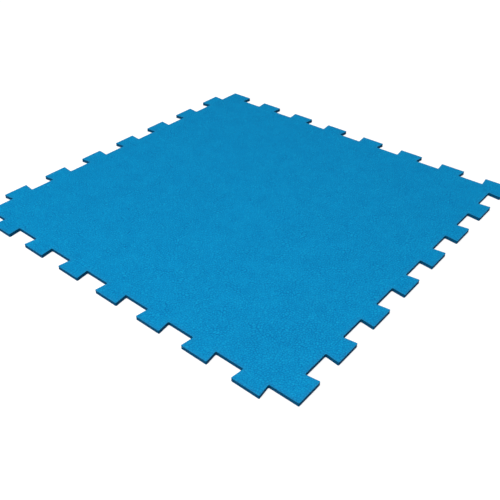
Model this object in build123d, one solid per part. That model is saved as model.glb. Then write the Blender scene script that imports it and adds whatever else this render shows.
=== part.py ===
"""Interlocking puzzle mat tile, in three bonded plies.

The tile is a thin square sheet whose four sides carry dovetail tabs. The +X and +Y sides have eight tabs
each, the first and last of them in the corners, and the -X and -Y sides have seven tabs each, which stand
opposite the gaps of the other two sides. Identical tiles laid side by side at TILE_PITCH therefore lock
together in both directions.

From the floor up the plies are a grip skin, a closed-cell foam core and an embossed wear skin. All three are
cut through together by one die, so they share the outline.

Frame: millimetres, +Z up, origin at the middle of the bounding box's underside.
"""

from build123d import *

import os
from math import radians, tan

# Driving dimensions
TILE_PITCH = 1000.0  # distance from one laid tile to the next
TAB_DEPTH = 33.3  # how far a tab stands out of the side's base line
TABS_ON_LONG_SIDE = 8  # +X and +Y sides, corner tabs included
FLANK_ANGLE = 7.1  # degrees by which each dovetail flank leans
FLANK_CLEARANCE = 0.5  # gap left between a tab's flank and its neighbour's
CORNER_RADIUS = 2.2  # the die's knife is bent to this radius
GRIP_SKIN_THICKNESS = 1.0
CORE_THICKNESS = 7.5
WEAR_SKIN_THICKNESS = 1.0
TOP_EDGE_RADIUS = 0.5  # the embossing roller rounds the wear skin's rim

# Worked out from them
BASE_SQUARE = TILE_PITCH - TAB_DEPTH  # side of the square between the four base lines
FLARE = TAB_DEPTH * tan(radians(FLANK_ANGLE))  # how far one flank widens from root to tip
GAPS_ON_LONG_SIDE = TABS_ON_LONG_SIDE - 1
TAB_PITCH = (TILE_PITCH + FLANK_CLEARANCE - FLARE) / (GAPS_ON_LONG_SIDE + 0.5)
TIP_WIDTH = TAB_PITCH / 2 - FLANK_CLEARANCE + FLARE
ROOT_WIDTH = TIP_WIDTH - 2 * FLARE
FIRST_LONG_CENTRE = TIP_WIDTH / 2  # the corner tab's tip starts flush with the next side's base line
FIRST_SHORT_CENTRE = FIRST_LONG_CENTRE + TAB_PITCH / 2


def tab_profile(centre):
    """One tab's outline as (distance along the side, distance out from the base line)."""
    return [
        (centre - ROOT_WIDTH / 2, 0.0),
        (centre - TIP_WIDTH / 2, TAB_DEPTH),
        (centre + TIP_WIDTH / 2, TAB_DEPTH),
        (centre + ROOT_WIDTH / 2, 0.0),
    ]


def short_side():
    """The seven tabs of a -X or -Y side, from the low corner up."""
    centres = [FIRST_SHORT_CENTRE + i * TAB_PITCH for i in range(GAPS_ON_LONG_SIDE)]
    return [point for centre in centres for point in tab_profile(centre)]


def long_side():
    """The eight tabs of a +X or +Y side, without the two corner points at its ends."""
    centres = [FIRST_LONG_CENTRE + i * TAB_PITCH for i in range(TABS_ON_LONG_SIDE)]
    points = [point for centre in centres for point in tab_profile(centre)]
    return points[2:-2]


def outline_points():
    """The die line, counter-clockwise from the corner where two base lines meet."""
    far = BASE_SQUARE
    points = [(0.0, 0.0)]
    points += [(along, -out) for along, out in short_side()]
    points += [(TILE_PITCH, 0.0)]
    points += [(far + out, along) for along, out in long_side()]
    points += [(TILE_PITCH, TILE_PITCH)]
    points += [(along, far + out) for along, out in reversed(long_side())]
    points += [(0.0, TILE_PITCH)]
    points += [(-out, along) for along, out in reversed(short_side())]
    return [(x - BASE_SQUARE / 2, y - BASE_SQUARE / 2) for x, y in points]


def ply(bottom, thickness):
    """A sheet of the die's outline, with its underside at the height `bottom`."""
    with BuildPart() as sheet:
        with BuildSketch(Plane.XY.offset(bottom)) as sketch:
            with BuildLine():
                Polyline(*outline_points(), close=True)
            make_face()
            fillet(sketch.vertices(), CORNER_RADIUS)
        extrude(amount=thickness)
    return sheet.part


def wear_skin(bottom):
    """The top ply, with its upper rim rounded all the way round."""
    sheet = ply(bottom, WEAR_SKIN_THICKNESS)
    rim = sheet.faces().sort_by(Axis.Z)[-1].outer_wire().edges()
    return fillet(rim, TOP_EDGE_RADIUS)


def main():
    core_bottom = GRIP_SKIN_THICKNESS
    wear_bottom = core_bottom + CORE_THICKNESS
    parts = {
        "grip_skin": ply(0.0, GRIP_SKIN_THICKNESS),
        "foam_core": ply(core_bottom, CORE_THICKNESS),
        "wear_skin": wear_skin(wear_bottom),
    }
    os.makedirs("parts", exist_ok=True)
    for name, shape in parts.items():
        export_step(shape, f"parts/{name}.step")
    print("tab pitch", TAB_PITCH, "tip", TIP_WIDTH, "root", ROOT_WIDTH, "base square", BASE_SQUARE)


main()
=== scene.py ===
"""Looks of the interlocking mat tile: three bonded foam plies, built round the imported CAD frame.

Everything is in metres, in the CAD model's frame: +Z up out of the embossed face, origin at the middle
of the underside. The outline is worked out here from the same driving dimensions, because every ply is
cut to it.
"""

from math import ceil, cos, pi, radians, sin, tan

import bpy
import numpy as np
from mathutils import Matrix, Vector, geometry, kdtree


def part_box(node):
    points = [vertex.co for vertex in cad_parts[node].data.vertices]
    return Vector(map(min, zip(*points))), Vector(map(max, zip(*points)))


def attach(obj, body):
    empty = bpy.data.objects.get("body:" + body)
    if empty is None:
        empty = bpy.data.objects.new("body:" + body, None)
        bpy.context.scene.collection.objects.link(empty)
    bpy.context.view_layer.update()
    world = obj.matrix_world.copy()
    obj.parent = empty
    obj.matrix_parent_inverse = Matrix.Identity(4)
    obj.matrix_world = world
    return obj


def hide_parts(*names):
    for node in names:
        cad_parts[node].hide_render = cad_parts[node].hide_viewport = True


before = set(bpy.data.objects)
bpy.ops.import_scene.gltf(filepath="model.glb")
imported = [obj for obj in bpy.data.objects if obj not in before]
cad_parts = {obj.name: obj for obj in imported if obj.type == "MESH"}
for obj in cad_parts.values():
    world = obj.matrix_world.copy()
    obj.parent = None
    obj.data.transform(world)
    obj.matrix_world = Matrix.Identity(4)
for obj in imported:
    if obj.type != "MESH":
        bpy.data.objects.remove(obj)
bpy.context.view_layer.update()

MM = 0.001


def grey(value):
    """A colour with the same share of red, green and blue."""
    return value, value, value, 1


# The die's outline
TAB_DEPTH = 33.3 * MM
TABS_ON_LONG_SIDE = 8
FLANK_ANGLE = radians(7.1)
FLANK_CLEARANCE = 0.5 * MM
CORNER_RADIUS = 2.2 * MM
CORNER_SEGMENTS = 6
OUTLINE_STEP = 1.4 * MM
CDT_EPSILON = 1e-9
TILE_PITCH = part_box("foam_core")[1].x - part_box("foam_core")[0].x - TAB_DEPTH
BASE_SQUARE = TILE_PITCH - TAB_DEPTH
FLARE = TAB_DEPTH * tan(FLANK_ANGLE)
GAPS_ON_LONG_SIDE = TABS_ON_LONG_SIDE - 1
TAB_PITCH = (TILE_PITCH + FLANK_CLEARANCE - FLARE) / (GAPS_ON_LONG_SIDE + 0.5)
TIP_WIDTH = TAB_PITCH / 2 - FLANK_CLEARANCE + FLARE
ROOT_WIDTH = TIP_WIDTH - 2 * FLARE
FIRST_LONG_CENTRE = TIP_WIDTH / 2
FIRST_SHORT_CENTRE = FIRST_LONG_CENTRE + TAB_PITCH / 2

# The wear skin's embossed leather grain
GRAIN_STEP = 1.4 * MM
GRAIN_MARGIN = 0.7 * GRAIN_STEP
GRAIN_DEPTH = 0.4 * MM
PEBBLE = 5.6 * MM
CREASE_HALF_WIDTH = 1.3 * MM
WANDER = 12 * MM
WANDER_CELL = 23 * MM
CREASE_CELL = 31 * MM
SWELL_CELL = 17 * MM
CREASE_THINNEST = 0.75  # share of CREASE_HALF_WIDTH
CREASE_SPREAD = 0.5
PEBBLE_LOWEST = 0.72  # share of GRAIN_DEPTH
PEBBLE_SPREAD = 0.28
SWELL_LOWEST = 0.9  # share of a pebble's height
SWELL_SPREAD = 0.1
RIM_RADIUS = 0.5 * MM
RIM_SEGMENTS = 4
RIM_FADE = 4 * MM
SIDE_SHADE_SHARES = (1.0, 1.0, 0.9, 0.6, 0.25)  # how much painted side shade each ring of its wall gets, from the bottom up

# The foam core's cut wall
WALL_HOLLOW = 0.25 * MM
WALL_ROUGHNESS = 0.07 * MM
WALL_ROWS = 8
HOLLOW_LEAST = 0.7  # share of WALL_HOLLOW
HOLLOW_SPREAD = 0.6
PIT_CELL = 3.1 * MM
PIT_ROW = 1.7 * MM
WAVE_CELL = 11 * MM
WAVE_ROW = 0.9 * MM

# The grip skin's waffle of square pads
PAD_PITCH = 10 * MM
GROOVE_WIDTH = 1.4 * MM
GROOVE_SLOPE = 0.5 * MM
GROOVE_DEPTH = 0.45 * MM
GROOVE_MARGIN = 0.4 * MM
LOWER_EDGE_RADIUS = 0.3 * MM
LOWER_EDGE_SEGMENTS = 2

# Faces where one ply is bonded to the next
BONDED_STEP = 40 * MM
BONDED_MARGIN = BONDED_STEP / 4

# Base colours
# Painted shade in the grain's creases and painted highlight on its crests
SKIN_CREASE_SHADE = (0.0001, 0.135, 0.345, 1)
SKIN_BLUE = (0.0003, 0.219, 0.478, 1)
SKIN_CREST_HIGHLIGHT = (0.0030, 0.280, 0.534, 1)
FLECK_DARK = (0.55, 0.86, 0.90, 1)
FLECK_LIGHT = (1.55, 1.14, 1.10, 1)
# Painted sheen and shade along the rim: redder and darker in green and blue than the skin's blue
SKIN_RIM_SHEEN_AND_SHADE = (0.018, 0.185, 0.38, 1)
# Painted shade on the wear skin's cut side
SKIN_SIDE_SHADE = (0.0008, 0.066, 0.154, 1)
# The core's blues are darker than the skin's: painted shade of the side wall, darkest in each foam cell's
# middle
CUT_SHADE = (0.0005, 0.034, 0.085, 1)
CUT_BLUE = (0.0007, 0.050, 0.119, 1)
CUT_WALL = (0.0010, 0.071, 0.162, 1)
# The grip skin's pad blue, darkest of the plies: painted shade towards the bottom of the side wall
GRIP_PAD = (0.0010, 0.040, 0.098, 1)
GRIP_GROOVE = (0.0022, 0.046, 0.098, 1)
FLOOR_GREY = grey(0.5)

# Gloss, as (roughness, specular level)
WEAR_GLOSS = (0.4, 0.06)
CORE_GLOSS = (0.85, 0.02)
GRIP_GLOSS = (0.75, 0.03)
FLOOR_GLOSS = (0.9, 0.0)

# Shading of the wear skin. Its mottling is (size of the blotches, darkest, lightest).
GRAIN_MIDDLE = 0.45  # height of the grain that has the plain skin blue
RIM_SHEEN_SHARE = 0.4  # share of the painted rim sheen and shade right at the rim
WEAR_MOTTLING = (
    (2.0 * MM, FLECK_DARK, FLECK_LIGHT),
    (4.5 * MM, grey(0.96), grey(1.04)),
    (14 * MM, grey(0.993), grey(1.007)),
    (90 * MM, grey(0.985), grey(1.015)),
)
PORE = 0.7 * MM
PORE_DETAIL = 3.0
PORE_DEPTH = 0.1 * MM
PORE_STRENGTH = 0.5

# Shading of the cut foam
FOAM_CELL = 0.5 * MM
FOAM_CELL_DEPTH = 0.15 * MM
FOAM_CELL_STRENGTH = 0.6
CUT_MIDDLE = 0.55  # distance from a cell's middle that has the plain cut blue
CUT_BLOTCH = 5 * MM
CUT_DARK = grey(0.88)
CUT_LIGHT = grey(1.12)

# Shading of the grip skin
DUST_BLOTCH = 30 * MM
DUST_DETAIL = 4.0
DUST_DARK = grey(0.85)
DUST_LIGHT = grey(1.15)
PIMPLE = 0.9 * MM
PIMPLE_DEPTH = 0.12 * MM
PIMPLE_STRENGTH = 0.6

# A tint runs over this middle part of a noise
NOISE_LOW = 0.3
NOISE_HIGH = 0.7

# The studio
FLOOR_SIZE = 24.0
FLOOR_GAP = 0.2 * MM
FLOOR_GLOW = 0.60
DOME_POWER = 6.0
DOME_GAIN = 2.85
DOME_HORIZON = 0.05
KEY_PLACE = (-1.2, -5.8, 2.5)
KEY_SIZE = (4.0, 2.0)
KEY_WATTS = 215
TOP_PLACE = (0.5, -1.4, 2.2)
TOP_SIZE = (1.5, 1.5)
TOP_WATTS = 16
CAMERA_PLACE = (0.9191, -1.1427, 0.9290)
CAMERA_TILT = radians(52.69)
CAMERA_TURN = radians(40.43)
LENS = 45.89
SENSOR_WIDTH = 36
LENS_SHIFT = (0.0344, 0.0129)
CLIP_NEAR = 0.05
CLIP_FAR = 60

SHARP_ANGLE = radians(38)
TABLE_SIZE = 256
SEED = 7


# ---------------------------------------------------------------- the outline


def tab_profile(centre):
    """One tab's outline as (distance along the side, distance out from the base line)."""
    return [
        (centre - ROOT_WIDTH / 2, 0.0),
        (centre - TIP_WIDTH / 2, TAB_DEPTH),
        (centre + TIP_WIDTH / 2, TAB_DEPTH),
        (centre + ROOT_WIDTH / 2, 0.0),
    ]


def short_side():
    """The seven tabs of a -X or -Y side, from the low corner up."""
    centres = [FIRST_SHORT_CENTRE + i * TAB_PITCH for i in range(GAPS_ON_LONG_SIDE)]
    return [point for centre in centres for point in tab_profile(centre)]


def long_side():
    """The eight tabs of a +X or +Y side, without the two corner points at its ends."""
    centres = [FIRST_LONG_CENTRE + i * TAB_PITCH for i in range(TABS_ON_LONG_SIDE)]
    points = [point for centre in centres for point in tab_profile(centre)]
    return points[2:-2]


def sharp_outline():
    """The die line's corners, counter-clockwise from the corner where two base lines meet."""
    far = BASE_SQUARE
    points = [(0.0, 0.0)]
    points += [(along, -out) for along, out in short_side()]
    points += [(TILE_PITCH, 0.0)]
    points += [(far + out, along) for along, out in long_side()]
    points += [(TILE_PITCH, TILE_PITCH)]
    points += [(along, far + out) for along, out in reversed(long_side())]
    points += [(0.0, TILE_PITCH)]
    points += [(-out, along) for along, out in reversed(short_side())]
    return np.array(points) - BASE_SQUARE / 2


def rounded_corner(before, corner, after):
    """Points and outward normals along the arc that rounds one corner, in the outline's direction."""
    side_in = (corner - before) / np.linalg.norm(corner - before)
    side_out = (after - corner) / np.linalg.norm(after - corner)
    turn = np.arctan2(side_in[0] * side_out[1] - side_in[1] * side_out[0], side_in @ side_out)
    outward = np.array([side_in[1], -side_in[0]])
    bulge = np.sign(turn)
    start = corner - side_in * CORNER_RADIUS * abs(tan(turn / 2))
    centre = start - outward * bulge * CORNER_RADIUS
    normals = []
    for k in range(CORNER_SEGMENTS + 1):
        a = turn * k / CORNER_SEGMENTS
        normal_x = outward[0] * cos(a) - outward[1] * sin(a)
        normal_y = outward[0] * sin(a) + outward[1] * cos(a)
        normals.append([normal_x, normal_y])
    normals = np.array(normals)
    return centre + normals * bulge * CORNER_RADIUS, normals


def die_line():
    """The rounded outline: points no further apart than OUTLINE_STEP, and their outward normals."""
    sharp = sharp_outline()
    arcs = [
        rounded_corner(sharp[i - 1], sharp[i], sharp[(i + 1) % len(sharp)])
        for i in range(len(sharp))
    ]
    points, normals = [], []
    for i, (arc, arc_normals) in enumerate(arcs):
        points.append(arc)
        normals.append(arc_normals)
        run_end = arcs[(i + 1) % len(arcs)][0][0]
        pieces = ceil(np.linalg.norm(run_end - arc[-1]) / OUTLINE_STEP)
        for k in range(1, pieces):
            points.append([arc[-1] + (run_end - arc[-1]) * k / pieces])
            normals.append([arc_normals[-1]])
    return np.concatenate(points), np.concatenate(normals)


OUTLINE, OUTWARD = die_line()
OUTLINE_COUNT = len(OUTLINE)


# ---------------------------------------------------------------- filling a face inside the outline


def inside(loop, x, y):
    """Whether each point is inside the closed loop, by counting the loop's crossings of its row."""
    result = np.zeros(len(x), bool)
    ends = np.roll(loop, -1, axis=0)
    rows, which = np.unique(y, return_inverse=True)
    order = np.argsort(which, kind="stable")
    starts = np.searchsorted(which[order], np.arange(len(rows) + 1))
    for r, row in enumerate(rows):
        crosses = (loop[:, 1] > row) != (ends[:, 1] > row)
        a, b = loop[crosses], ends[crosses]
        at = np.sort(a[:, 0] + (row - a[:, 1]) / (b[:, 1] - a[:, 1]) * (b[:, 0] - a[:, 0]))
        members = order[starts[r]:starts[r + 1]]
        result[members] = np.searchsorted(at, x[members]) % 2 == 1
    return result


def deep_inside(loop, x, y, margin):
    """Whether the square that reaches margin to each side of a point is inside the loop.

    Only the square's corners and the middles of its sides are tried."""
    deep = np.ones(len(x), bool)
    for dx in (-margin, 0, margin):
        for dy in (-margin, 0, margin):
            deep &= inside(loop, x + dx, y + dy)
    return deep


def fill_loop(loop, lines_x, lines_y, margin):
    """Fills a loop with the cells between the given lines, and joins them to the loop with triangles.

    Returns the points added to the loop's own and the faces, whose indices count the loop's points first."""
    grid_x, grid_y = (g.ravel() for g in np.meshgrid(lines_x, lines_y, indexing="ij"))
    across = len(lines_y)
    deep = deep_inside(loop, grid_x, grid_y, margin).reshape(len(lines_x), across)
    cells = deep[:-1, :-1] & deep[1:, :-1] & deep[1:, 1:] & deep[:-1, 1:]
    i, j = np.nonzero(cells)
    quads = np.stack([i * across + j, (i + 1) * across + j, (i + 1) * across + j + 1, i * across + j + 1], 1)
    used, packed = np.unique(quads, return_inverse=True)
    quads = packed.reshape(-1, 4) + len(loop)
    points = np.stack([grid_x[used], grid_y[used]], 1)
    triangles = band_triangles(loop, points, quads, (lines_x, lines_y, cells))
    return points, quads.tolist() + triangles


def band_triangles(loop, points, quads, grid):
    """Triangles between the loop and the cells' own edge."""
    sides = np.concatenate([quads[:, [k, (k + 1) % 4]] for k in range(4)])
    ordered = np.sort(sides, axis=1)
    _, first, count = np.unique(ordered, axis=0, return_index=True, return_counts=True)
    rim = sides[first[count == 1]]
    rim_points = np.unique(rim)
    everything = np.concatenate([loop, points])
    chosen = np.concatenate([np.arange(len(loop)), rim_points])
    place = {int(v): k for k, v in enumerate(chosen)}
    edges = [(k, (k + 1) % len(loop)) for k in range(len(loop))]
    edges += [(place[int(a)], place[int(b)]) for a, b in rim]
    flat = [Vector(p) for p in everything[chosen]]
    verts, _, faces, origins, _, _ = geometry.delaunay_2d_cdt(flat, edges, [], 0, CDT_EPSILON)
    faces = np.array(faces)
    middles = np.array([v[:] for v in verts])[faces].mean(1)
    keep = inside(loop, middles[:, 0], middles[:, 1]) & ~in_cells(middles, *grid)
    back = np.array([chosen[o[0]] for o in origins])
    return back[faces[keep]].tolist()


def in_cells(places, lines_x, lines_y, cells):
    """Whether each place lies in a cell that is already filled."""
    i = np.searchsorted(lines_x, places[:, 0]) - 1
    j = np.searchsorted(lines_y, places[:, 1]) - 1
    on_grid = (i >= 0) & (i < cells.shape[0]) & (j >= 0) & (j < cells.shape[1])
    found = np.zeros(len(places), bool)
    found[on_grid] = cells[i[on_grid], j[on_grid]]
    return found


# ---------------------------------------------------------------- surface relief


def lattice(rng):
    """A table of random numbers that a noise repeats over."""
    return rng.random((TABLE_SIZE, TABLE_SIZE))


def soft_noise(table, x, y, cell):
    """Smooth noise from 0 to 1 with bumps about one cell wide."""
    gx, gy = x / cell, y / cell
    ix, iy = np.floor(gx).astype(int), np.floor(gy).astype(int)
    tx, ty = gx - ix, gy - iy
    tx, ty = tx * tx * (3 - 2 * tx), ty * ty * (3 - 2 * ty)
    left, right = ix % TABLE_SIZE, (ix + 1) % TABLE_SIZE
    below, above = iy % TABLE_SIZE, (iy + 1) % TABLE_SIZE
    low = table[left, below] * (1 - tx) + table[right, below] * tx
    high = table[left, above] * (1 - tx) + table[right, above] * tx
    return low * (1 - ty) + high * ty


def smooth_step(low, high, value):
    """0 up to low, 1 from high on, and a smooth curve between them."""
    t = np.clip((value - low) / (high - low), 0, 1)
    return t * t * (3 - 2 * t)


def pebbles(tables, x, y, cell):
    """The distance to the nearest crease, and a random number for the pebble each point is on."""
    jitter_x, jitter_y, shade = tables
    ix, iy = np.floor(x / cell).astype(int), np.floor(y / cell).astype(int)
    nearest = np.full((2, len(x)), np.inf)
    seeds = np.zeros((2, 2, len(x)))
    number = np.zeros(len(x))
    for dx in (-1, 0, 1):
        for dy in (-1, 0, 1):
            a, b = (ix + dx) % TABLE_SIZE, (iy + dy) % TABLE_SIZE
            seed = np.array([(ix + dx + jitter_x[a, b]) * cell, (iy + dy + jitter_y[a, b]) * cell])
            distance = np.hypot(seed[0] - x, seed[1] - y)
            first = distance < nearest[0]
            second = ~first & (distance < nearest[1])
            nearest[1] = np.where(first, nearest[0], np.where(second, distance, nearest[1]))
            seeds[1] = np.where(first, seeds[0], np.where(second, seed, seeds[1]))
            nearest[0] = np.where(first, distance, nearest[0])
            seeds[0] = np.where(first, seed, seeds[0])
            number = np.where(first, shade[a, b], number)
    apart = np.hypot(*(seeds[1] - seeds[0]))
    return (nearest[1] ** 2 - nearest[0] ** 2) / (2 * apart), number


def leather(x, y):
    """The embossed grain's height from 0, the foot of a crease, to 1, the top of a pebble."""
    rng = np.random.default_rng(SEED)
    tables = [lattice(rng) for _ in range(7)]
    warp_x = (soft_noise(tables[0], x, y, WANDER_CELL) - 0.5) * WANDER
    warp_y = (soft_noise(tables[1], x, y, WANDER_CELL) - 0.5) * WANDER
    crease, number = pebbles(tables[2:5], x + warp_x, y + warp_y, PEBBLE)
    width = CREASE_HALF_WIDTH * (
        CREASE_THINNEST + CREASE_SPREAD * soft_noise(tables[5], x, y, CREASE_CELL)
    )
    pebble = smooth_step(0, 1, crease / width)
    level = PEBBLE_LOWEST + PEBBLE_SPREAD * number
    swell = SWELL_LOWEST + SWELL_SPREAD * soft_noise(tables[6], x, y, SWELL_CELL)
    return pebble * level * swell


def waffle(x, y):
    """1 in the grip skin's grooves and 0 on its pads."""
    depth = np.zeros(len(x))
    for along in (x, y):
        off = np.abs((along / PAD_PITCH + 0.5) % 1 - 0.5) * PAD_PITCH
        depth = np.maximum(depth, np.clip((GROOVE_WIDTH / 2 + GROOVE_SLOPE - off) / GROOVE_SLOPE, 0, 1))
    return depth


def waffle_lines():
    """Lines at the edges and the foot of every groove, and along the middle of every row of pads."""
    half = TILE_PITCH / 2 + TAB_DEPTH
    count = ceil(half / PAD_PITCH)
    centres = np.arange(-count, count + 1) * PAD_PITCH
    foot, brow = GROOVE_WIDTH / 2, GROOVE_WIDTH / 2 + GROOVE_SLOPE
    return (centres[:, None] + [-brow, -foot, foot, brow, PAD_PITCH / 2]).ravel()


def even_lines(step):
    """Evenly spaced lines across the whole tile."""
    half = TILE_PITCH / 2 + TAB_DEPTH
    count = ceil(half / step)
    return np.arange(-count, count + 1) * step


# ---------------------------------------------------------------- meshes


def ring(inset, height):
    """The outline drawn in by inset, at one height."""
    flat = OUTLINE - OUTWARD * np.reshape(inset, (-1, 1))
    return np.column_stack([flat, np.broadcast_to(height, OUTLINE_COUNT)])


def wall_faces(ring_count):
    """Quads between rings that are stacked from the bottom up."""
    here = np.arange(OUTLINE_COUNT)
    after = np.roll(here, -1)
    bands = []
    for k in range(ring_count - 1):
        low, high = k * OUTLINE_COUNT, (k + 1) * OUTLINE_COUNT
        bands.append(np.stack([here + low, after + low, after + high, here + high], 1))
    return np.concatenate(bands).tolist()


def closed_ply(name, rings, bottom, top):
    """A closed mesh of a ply's wall and its two faces.

    bottom and top are each (lines, margin, height of a place)."""
    points = [np.concatenate(rings)]
    faces = wall_faces(len(rings))
    total = len(points[0])
    for loop, first, (lines, margin, height), flip in (
        (rings[0], 0, bottom, True),
        (rings[-1], total - OUTLINE_COUNT, top, False),
    ):
        extra, made = fill_loop(loop[:, :2], lines, lines, margin)
        shift = total - OUTLINE_COUNT
        for face in made:
            moved = [v + first if v < OUTLINE_COUNT else v + shift for v in face]
            faces.append(moved[::-1] if flip else moved)
        points.append(np.column_stack([extra, height(extra[:, 0], extra[:, 1])]))
        total += len(extra)
    mesh = bpy.data.meshes.new(name)
    mesh.from_pydata(np.concatenate(points).tolist(), [], faces)
    mesh.shade_smooth()
    mesh.set_sharp_from_angle(angle=SHARP_ANGLE)
    mesh.validate()
    piece = bpy.data.objects.new(name, mesh)
    bpy.context.scene.collection.objects.link(piece)
    return piece


def add_attribute(piece, name, values):
    """Stores one number per point for the material to read."""
    made = piece.data.attributes.new(name, "FLOAT", "POINT")
    made.data.foreach_set("value", values.astype(np.float32))


def points_of(piece):
    """The mesh's points, one row of x, y and z for each."""
    co = np.empty(len(piece.data.vertices) * 3, np.float32)
    piece.data.vertices.foreach_get("co", co)
    return co.reshape(-1, 3).astype(float)


def plain(height):
    """A face at one height."""
    return lambda x, y: np.full(len(x), height)


def bonded(height):
    """A flat face that is bonded to the next ply, as closed_ply takes it."""
    return even_lines(BONDED_STEP), BONDED_MARGIN, plain(height)


def edge_distance(x, y):
    """How far each place is from the outline."""
    tree = kdtree.KDTree(OUTLINE_COUNT)
    for i, (a, b) in enumerate(OUTLINE):
        tree.insert((a, b, 0), i)
    tree.balance()
    return np.array([tree.find((a, b, 0))[2] for a, b in zip(x, y)])


def make_wear_skin():
    """The skin on top: a thin cut edge, a small rounded rim and the embossed grain."""
    low, high = (corner.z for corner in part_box("wear_skin"))
    rings = [ring(0, low)]
    grain_at_rim = leather(OUTLINE[:, 0], OUTLINE[:, 1])
    for k in range(RIM_SEGMENTS + 1):
        angle = pi / 2 * k / RIM_SEGMENTS
        drop = (1 - grain_at_rim) * GRAIN_DEPTH * sin(angle)
        rings.append(ring(RIM_RADIUS * (1 - cos(angle)), high - RIM_RADIUS * (1 - sin(angle)) - drop))

    def embossed(x, y):
        """The height of the grain at each place."""
        return high - GRAIN_DEPTH * (1 - leather(x, y))

    shown = (even_lines(GRAIN_STEP), GRAIN_MARGIN, embossed)
    piece = closed_ply("wear_skin_embossed", rings, bonded(low), shown)
    x, y, _ = points_of(piece).T
    cut = np.zeros(len(x))
    # Painted side shade: full on the cut wall, fading up the rounded rim
    for k, share in enumerate(SIDE_SHADE_SHARES):
        cut[k * OUTLINE_COUNT:(k + 1) * OUTLINE_COUNT] = share
    add_attribute(piece, "grain", leather(x, y))
    add_attribute(piece, "cut", cut)
    add_attribute(piece, "rim", np.exp(-edge_distance(x, y) / RIM_FADE))
    return piece


def make_foam_core():
    """The core, whose cut wall is drawn in a little between the skins and is slightly uneven."""
    low, high = (corner.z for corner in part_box("foam_core"))
    tables = [lattice(np.random.default_rng(SEED + 1 + k)) for k in range(2)]
    along = np.arange(OUTLINE_COUNT) * OUTLINE_STEP
    rings = []
    for k in range(WALL_ROWS + 1):
        t = k / WALL_ROWS
        pits = soft_noise(tables[0], along, np.full(OUTLINE_COUNT, k * PIT_ROW), PIT_CELL)
        waves = soft_noise(tables[1], along, np.full(OUTLINE_COUNT, k * WAVE_ROW), WAVE_CELL)
        hollow = WALL_HOLLOW * (HOLLOW_LEAST + HOLLOW_SPREAD * waves)
        inset = sin(pi * t) * (hollow + WALL_ROUGHNESS * pits)
        rings.append(ring(inset, low + (high - low) * t))
    return closed_ply("foam_core_cut", rings, bonded(low), bonded(high))


def make_grip_skin():
    """The skin underneath: square pads between shallow grooves."""
    low, high = (corner.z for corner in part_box("grip_skin"))
    rings = []
    grooves_at_rim = waffle(OUTLINE[:, 0], OUTLINE[:, 1])
    for k in range(LOWER_EDGE_SEGMENTS + 1):
        angle = pi / 2 * (1 - k / LOWER_EDGE_SEGMENTS)
        lift = LOWER_EDGE_RADIUS * (1 - sin(angle)) + grooves_at_rim * GROOVE_DEPTH * sin(angle)
        rings.append(ring(LOWER_EDGE_RADIUS * (1 - cos(angle)), low + lift))
    rings.append(ring(0, high))

    def grooved(x, y):
        """The height of the underside at each place."""
        return low + GROOVE_DEPTH * waffle(x, y)

    shown = (waffle_lines(), GROOVE_MARGIN, grooved)
    piece = closed_ply("grip_skin_waffle", rings, shown, bonded(high))
    x, y, _ = points_of(piece).T
    add_attribute(piece, "groove", waffle(x, y))
    return piece


# ---------------------------------------------------------------- materials


class NodeTree:
    """The nodes of one material or of the world, with a short call for each kind used here."""

    MIX_INPUTS = (0, 6, 7)  # factor, first colour, second colour
    MIX_RESULT = 2

    def __init__(self, tree):
        self.nodes = tree.nodes
        self.links = tree.links

    def feed(self, socket, value):
        """Gives a socket another node's output, a number or a colour."""
        if isinstance(value, bpy.types.NodeSocket):
            self.links.new(value, socket)
        else:
            socket.default_value = value

    def place(self, kind="Object"):
        """Each point's place, in the object's own frame unless another kind is named."""
        return self.nodes.new("ShaderNodeTexCoord").outputs[kind]

    def attribute(self, name):
        """The number that the mesh stores for each point under a name."""
        node = self.nodes.new("ShaderNodeAttribute")
        node.attribute_name = name
        return node.outputs["Fac"]

    def arithmetic(self, operation, *values):
        """The result of one sum on the values."""
        node = self.nodes.new("ShaderNodeMath")
        node.operation = operation
        for socket, value in zip(node.inputs, values):
            self.feed(socket, value)
        return node.outputs[0]

    def mix(self, factor, first, second, mode="MIX"):
        """Two colours mixed by a factor."""
        node = self.nodes.new("ShaderNodeMix")
        node.data_type = "RGBA"
        node.blend_type = mode
        for index, value in zip(self.MIX_INPUTS, (factor, first, second)):
            self.feed(node.inputs[index], value)
        return node.outputs[self.MIX_RESULT]

    def noise(self, place, cell, detail=2.0):
        """Noise whose bumps are about one cell wide."""
        node = self.nodes.new("ShaderNodeTexNoise")
        self.feed(node.inputs["Scale"], 1 / cell)
        self.feed(node.inputs["Detail"], detail)
        self.feed(node.inputs["Vector"], place)
        return node.outputs["Fac"]

    def foam_cells(self, place, cell):
        """The distance of each point from the middle of its foam cell."""
        node = self.nodes.new("ShaderNodeTexVoronoi")
        self.feed(node.inputs["Scale"], 1 / cell)
        self.feed(node.inputs["Vector"], place)
        return node.outputs["Distance"]

    def ramp(self, value, stops):
        """A number turned into a colour by stops of (position, colour)."""
        node = self.nodes.new("ShaderNodeValToRGB")
        elements = node.color_ramp.elements
        while len(elements) < len(stops):
            elements.new(0.5)
        for element, (position, colour) in zip(elements, stops):
            element.position = position
            element.color = colour
        self.feed(node.inputs["Fac"], value)
        return node.outputs["Color"]

    def tint(self, colour, noise, dark, light):
        """A colour multiplied by one that runs from dark to light with the noise."""
        factor = self.ramp(noise, ((NOISE_LOW, dark), (NOISE_HIGH, light)))
        return self.mix(1.0, colour, factor, "MULTIPLY")

    def bump(self, shader, height, distance, strength):
        """Fine relief on a shader."""
        node = self.nodes.new("ShaderNodeBump")
        self.feed(node.inputs["Distance"], distance)
        self.feed(node.inputs["Strength"], strength)
        self.feed(node.inputs["Height"], height)
        self.feed(shader.inputs["Normal"], node.outputs["Normal"])


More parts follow.
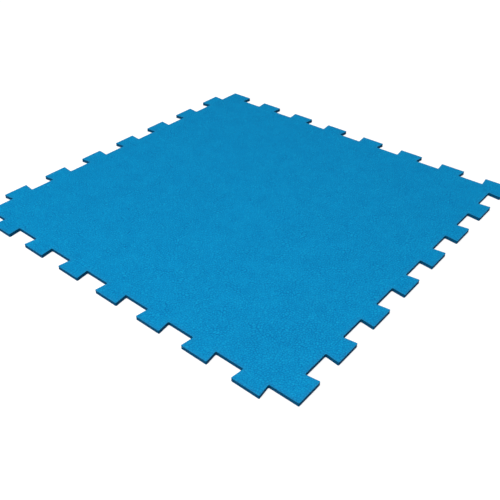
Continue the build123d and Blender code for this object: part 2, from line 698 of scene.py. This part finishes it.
def new_material(name, gloss):
    """A material, its node tree and its shader. gloss is (roughness, specular level)."""
    material = bpy.data.materials.new(name)
    material.use_nodes = True
    shader = material.node_tree.nodes["Principled BSDF"]
    roughness, specular = gloss
    shader.inputs["Roughness"].default_value = roughness
    shader.inputs["Specular IOR Level"].default_value = specular
    return material, NodeTree(material.node_tree), shader


def wear_skin_material():
    """Bright blue embossed skin: painted shade in the creases and painted highlight on the crests, mottled,
    painted shade on the cut side, and a painted sheen and shade band by the rim.
    """
    material, tree, shader = new_material("wear_skin_blue", WEAR_GLOSS)
    place = tree.place()
    # The grain's colours: painted shade in the creases, painted highlight on the crests
    grain_shade_and_highlight = ((0.0, SKIN_CREASE_SHADE), (GRAIN_MIDDLE, SKIN_BLUE), (1.0, SKIN_CREST_HIGHLIGHT))
    colour = tree.ramp(tree.attribute("grain"), grain_shade_and_highlight)
    for cell, dark, light in WEAR_MOTTLING:
        colour = tree.tint(colour, tree.noise(place, cell), dark, light)
    # Painted sheen and shade along the rounded rim
    rim_sheen = tree.ramp(tree.attribute("rim"), ((0.0, grey(0)), (1.0, grey(RIM_SHEEN_SHARE))))
    colour = tree.mix(rim_sheen, colour, SKIN_RIM_SHEEN_AND_SHADE)
    # Painted shade on the cut side of the skin
    colour = tree.mix(tree.attribute("cut"), colour, SKIN_SIDE_SHADE)
    tree.feed(shader.inputs["Base Color"], colour)
    tree.bump(shader, tree.noise(place, PORE, PORE_DETAIL), PORE_DEPTH, PORE_STRENGTH)
    return material


def foam_core_material():
    """Cut closed-cell foam: small round cells with thin walls between them, uneven in tone. Its blue is
    painted shade of the side wall, darker than the skin's and darkest in each cell's middle.
    """
    material, tree, shader = new_material("foam_core_shaded_blue", CORE_GLOSS)
    place = tree.place()
    depth = tree.foam_cells(place, FOAM_CELL)
    # Painted shade: darker than the skin's blue, darkest in each cell's middle
    colour = tree.ramp(depth, ((0.0, CUT_SHADE), (CUT_MIDDLE, CUT_BLUE), (1.0, CUT_WALL)))
    colour = tree.tint(colour, tree.noise(place, CUT_BLOTCH), CUT_DARK, CUT_LIGHT)
    tree.feed(shader.inputs["Base Color"], colour)
    tree.bump(shader, depth, FOAM_CELL_DEPTH, FOAM_CELL_STRENGTH)
    return material


def grip_skin_material():
    """The denser skin underneath: fine pimples, duller and dustier down in the grooves. Its dark blue is
    painted shade towards the bottom of the side wall.
    """
    material, tree, shader = new_material("grip_skin_shaded_blue", GRIP_GLOSS)
    place = tree.place()
    # Painted shade towards the bottom: the darkest ply; the grooves' lighter grey is dust
    colour = tree.mix(tree.attribute("groove"), GRIP_PAD, GRIP_GROOVE)
    dust = tree.noise(place, DUST_BLOTCH, DUST_DETAIL)
    colour = tree.tint(colour, dust, DUST_DARK, DUST_LIGHT)
    tree.feed(shader.inputs["Base Color"], colour)
    tree.bump(shader, tree.noise(place, PIMPLE), PIMPLE_DEPTH, PIMPLE_STRENGTH)
    return material


# ---------------------------------------------------------------- the object


def finish_piece(piece, node, material):
    """Gives a piece its material, hangs it on the root body and hides the CAD part it stands for."""
    piece.data.materials.append(material)
    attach(piece, "root")
    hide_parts(node)


finish_piece(make_wear_skin(), "wear_skin", wear_skin_material())
finish_piece(make_foam_core(), "foam_core", foam_core_material())
finish_piece(make_grip_skin(), "grip_skin", grip_skin_material())


# ---------------------------------------------------------------- floor, light and camera


def make_floor():
    """A plain floor that glows a little, so that it stays near white under the lamps."""
    mesh = bpy.data.meshes.new("floor")
    half = FLOOR_SIZE / 2
    corners = [(-half, -half, 0), (half, -half, 0), (half, half, 0), (-half, half, 0)]
    mesh.from_pydata(corners, [], [(0, 1, 2, 3)])
    floor = bpy.data.objects.new("floor", mesh)
    bpy.context.scene.collection.objects.link(floor)
    material, _, shader = new_material("pale_floor", FLOOR_GLOSS)
    shader.inputs["Base Color"].default_value = FLOOR_GREY
    shader.inputs["Emission Color"].default_value = grey(1)
    shader.inputs["Emission Strength"].default_value = FLOOR_GLOW
    mesh.materials.append(material)
    floor.location.z = -FLOOR_GAP


def make_sky():
    """A soft dome, brightest straight overhead. Only the camera sees the plain white backdrop."""
    world = bpy.data.worlds.new("studio_dome")
    bpy.context.scene.world = world
    world.use_nodes = True
    tree = NodeTree(world.node_tree)
    split = tree.nodes.new("ShaderNodeSeparateXYZ")
    tree.feed(split.inputs[0], tree.place("Generated"))
    above = tree.arithmetic("MAXIMUM", split.outputs["Z"], 0.0)
    steep = tree.arithmetic("POWER", above, DOME_POWER)
    dome = tree.nodes["Background"]
    dome.inputs["Color"].default_value = grey(1)
    strength = tree.arithmetic("MULTIPLY_ADD", steep, DOME_GAIN, DOME_HORIZON)
    tree.feed(dome.inputs["Strength"], strength)
    backdrop = tree.nodes.new("ShaderNodeBackground")
    backdrop.inputs["Color"].default_value = grey(1)
    camera_ray = tree.nodes.new("ShaderNodeLightPath").outputs["Is Camera Ray"]
    seen = tree.nodes.new("ShaderNodeMixShader")
    for socket, value in zip(seen.inputs, (camera_ray, dome.outputs[0], backdrop.outputs[0])):
        tree.feed(socket, value)
    tree.feed(tree.nodes["World Output"].inputs["Surface"], seen.outputs[0])


def make_lamp(name, place, size, watts):
    """A soft rectangular lamp that faces the middle of the tile."""
    lamp = bpy.data.lights.new(name, "AREA")
    lamp.shape = "RECTANGLE"
    lamp.size, lamp.size_y = size
    lamp.energy = watts
    holder = bpy.data.objects.new(name, lamp)
    bpy.context.scene.collection.objects.link(holder)
    holder.location = place
    holder.rotation_mode = "QUATERNION"
    holder.rotation_quaternion = holder.location.to_track_quat("Z", "Y")


def make_camera():
    """The camera, above the corner between the +X and -Y sides."""
    data = bpy.data.cameras.new("camera")
    data.lens = LENS
    data.sensor_width = SENSOR_WIDTH
    data.shift_x, data.shift_y = LENS_SHIFT
    data.clip_start = CLIP_NEAR
    data.clip_end = CLIP_FAR
    camera = bpy.data.objects.new("camera", data)
    bpy.context.scene.collection.objects.link(camera)
    camera.location = CAMERA_PLACE
    camera.rotation_euler = (CAMERA_TILT, 0, CAMERA_TURN)
    bpy.context.scene.camera = camera


make_floor()
make_sky()
make_lamp("key", KEY_PLACE, KEY_SIZE, KEY_WATTS)
make_lamp("top", TOP_PLACE, TOP_SIZE, TOP_WATTS)
make_camera()
bpy.context.scene.view_settings.view_transform = "Standard"
